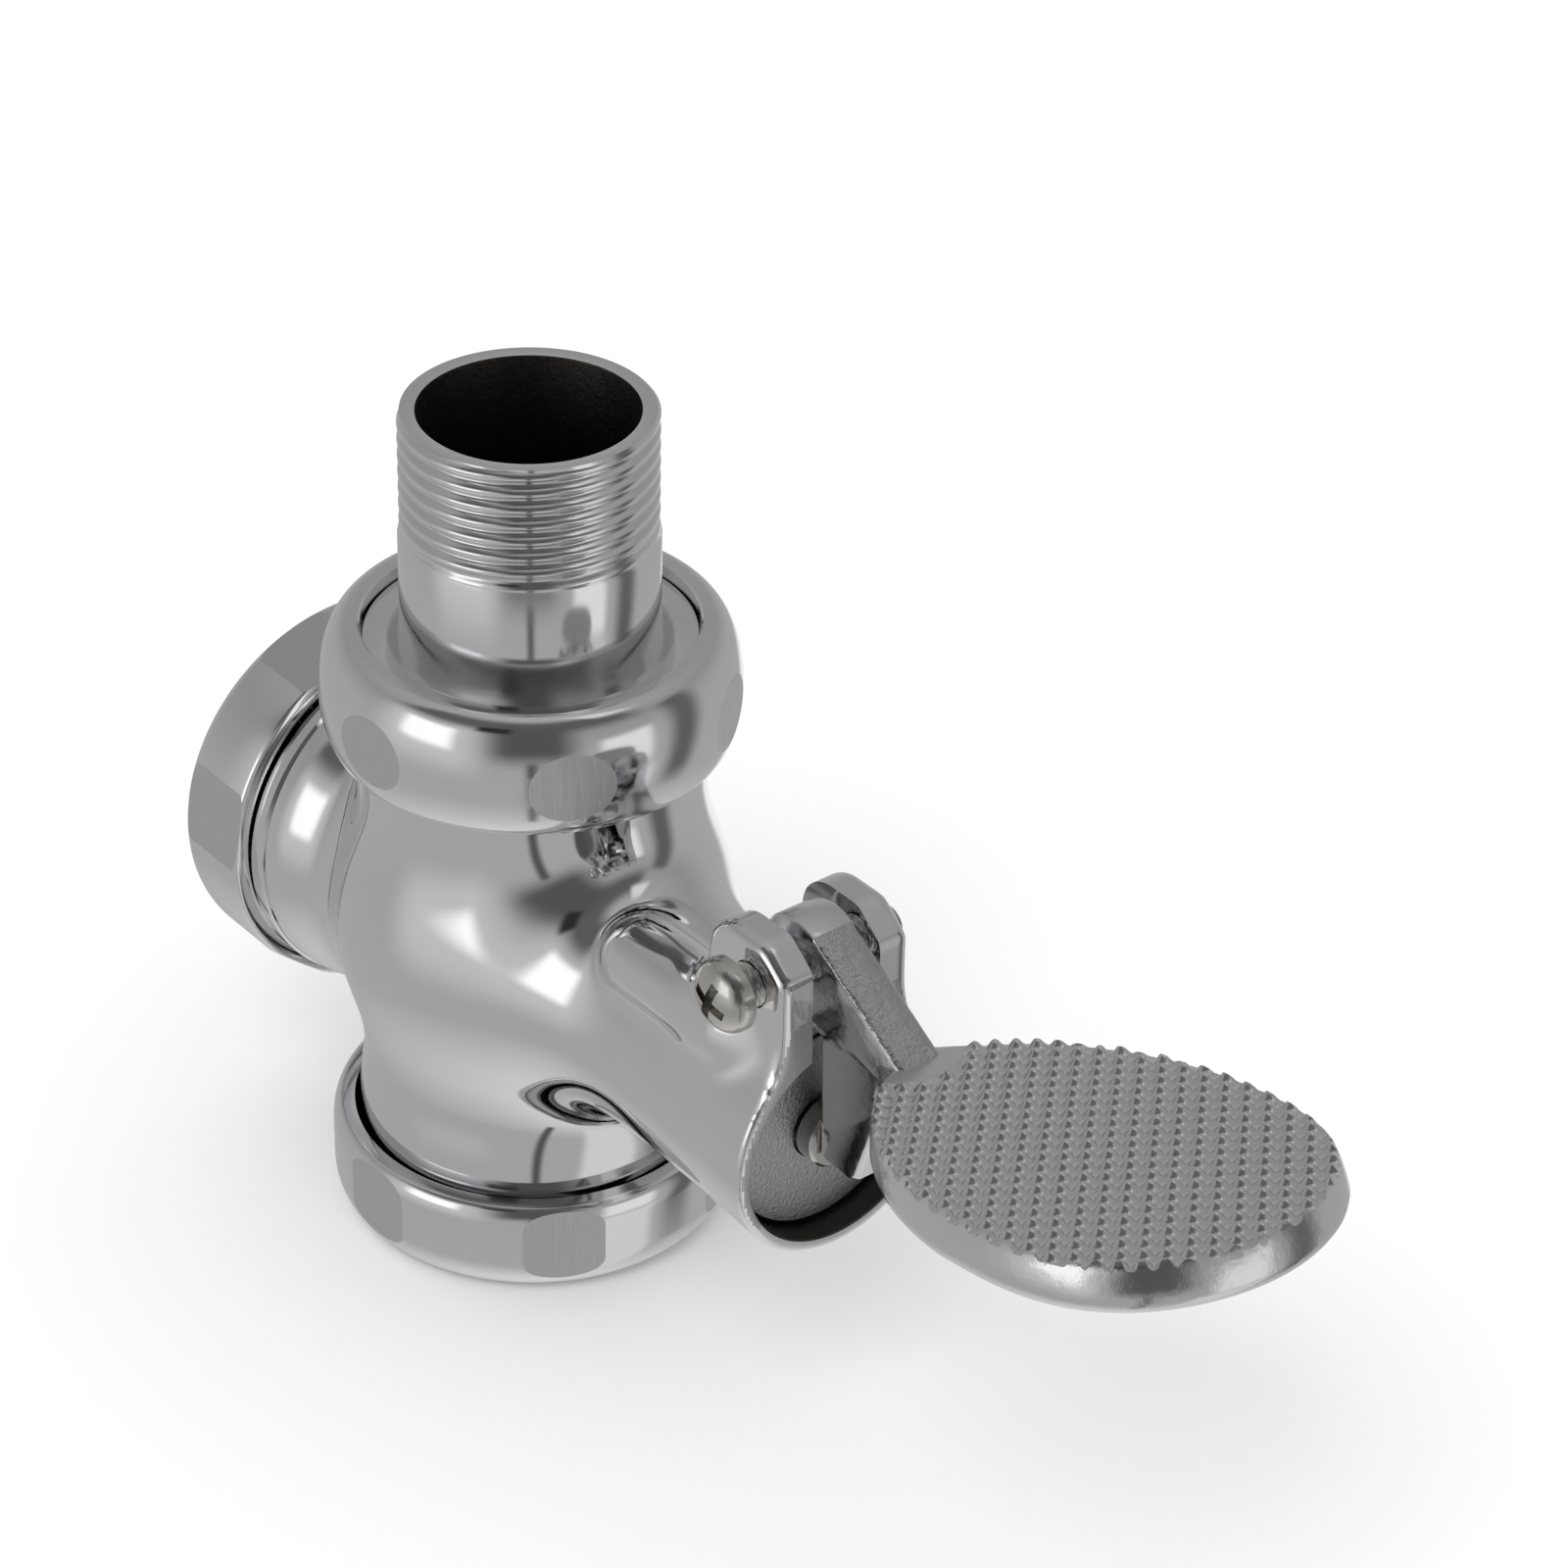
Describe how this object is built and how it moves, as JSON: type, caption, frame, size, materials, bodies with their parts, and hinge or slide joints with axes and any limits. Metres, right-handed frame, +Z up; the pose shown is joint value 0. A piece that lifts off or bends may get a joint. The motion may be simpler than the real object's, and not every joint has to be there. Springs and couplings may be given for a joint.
{
  "type": "foot pedal flush valve",
  "caption": "Chrome cross-shaped flush valve with a threaded top inlet, union nuts, a screwed back cap and a studded foot pedal that pushes a pin in the horn.",
  "frame": {"origin": "centre of the outlet mouth, on the underside of the outlet nut", "axes": "+Z up the pipe line towards the inlet, +X from the back cap towards the pedal, +Y across"},
  "size_m": [0.1495, 0.0436, 0.095],
  "materials": {
    "polished_chrome": "mirror-bright chrome plate over a polished casting",
    "turned_chrome": "chrome plate over fine turned rings",
    "cast_chrome": "satin plate over a sand-cast skin",
    "nickel_steel": "nickel-plated steel",
    "spring_steel": "drawn spring wire",
    "bare_brass": "machined brass",
    "black_rubber": "matt moulded rubber"
  },
  "bodies": {
    "valve": {"valve_body": "polished_chrome", "inlet_tailpiece": "turned_chrome", "inlet_union_nut": "polished_chrome", "inlet_washer": "black_rubber", "outlet_nut": "polished_chrome", "outlet_slip_washer": "bare_brass", "outlet_seal_ring": "black_rubber", "back_cap": "polished_chrome", "cap_seal_ring": "black_rubber", "return_spring": "spring_steel", "pilot_spring": "spring_steel", "pin_spring": "spring_steel", "rod_bush": "bare_brass", "rod_seal": "black_rubber", "pivot_screw": "nickel_steel"},
    "piston": {"piston": "bare_brass", "piston_cup_seal": "black_rubber", "seat_disc": "black_rubber", "disc_retainer": "bare_brass"},
    "pilot": {"pilot_valve": "bare_brass", "pilot_seal": "black_rubber"},
    "pin": {"push_pin": "nickel_steel", "pin_collar": "spring_steel"},
    "pedal": {"pedal": "cast_chrome"}
  },
  "joints": [
    {"name": "pedal_hinge", "type": "hinge", "parent": "valve", "child": "pedal", "pos_m": [0.0468, 0, 0.0546], "axis": [0, 1, 0], "range_deg": [0, 7], "stiffness_Nm_per_rad": 1.5, "springref_deg": -5.73},
    {"name": "pin_slide", "type": "slide", "parent": "valve", "child": "pin", "axis": [-1, 0, 0], "range_m": [0, 0.0026], "stiffness_N_per_m": 200, "springref_m": -0.01, "deforming": ["pin_spring"]},
    {"name": "piston_slide", "type": "slide", "parent": "valve", "child": "piston", "axis": [-1, 0, 0], "range_m": [0, 0.006], "stiffness_N_per_m": 400, "springref_m": -0.01, "deforming": ["return_spring"]},
    {"name": "pilot_slide", "type": "slide", "parent": "piston", "child": "pilot", "axis": [-1, 0, 0], "range_m": [0, 0.0026], "stiffness_N_per_m": 150, "springref_m": -0.01, "deforming": ["pilot_spring"]}
  ],
  "couplings": [
    {"joint": "pin_slide", "follows": "pedal_hinge", "m_per_rad": 0.02093},
    {"joint": "pilot_slide", "follows": "pedal_hinge", "m_per_rad": 0.02093}
  ]
}
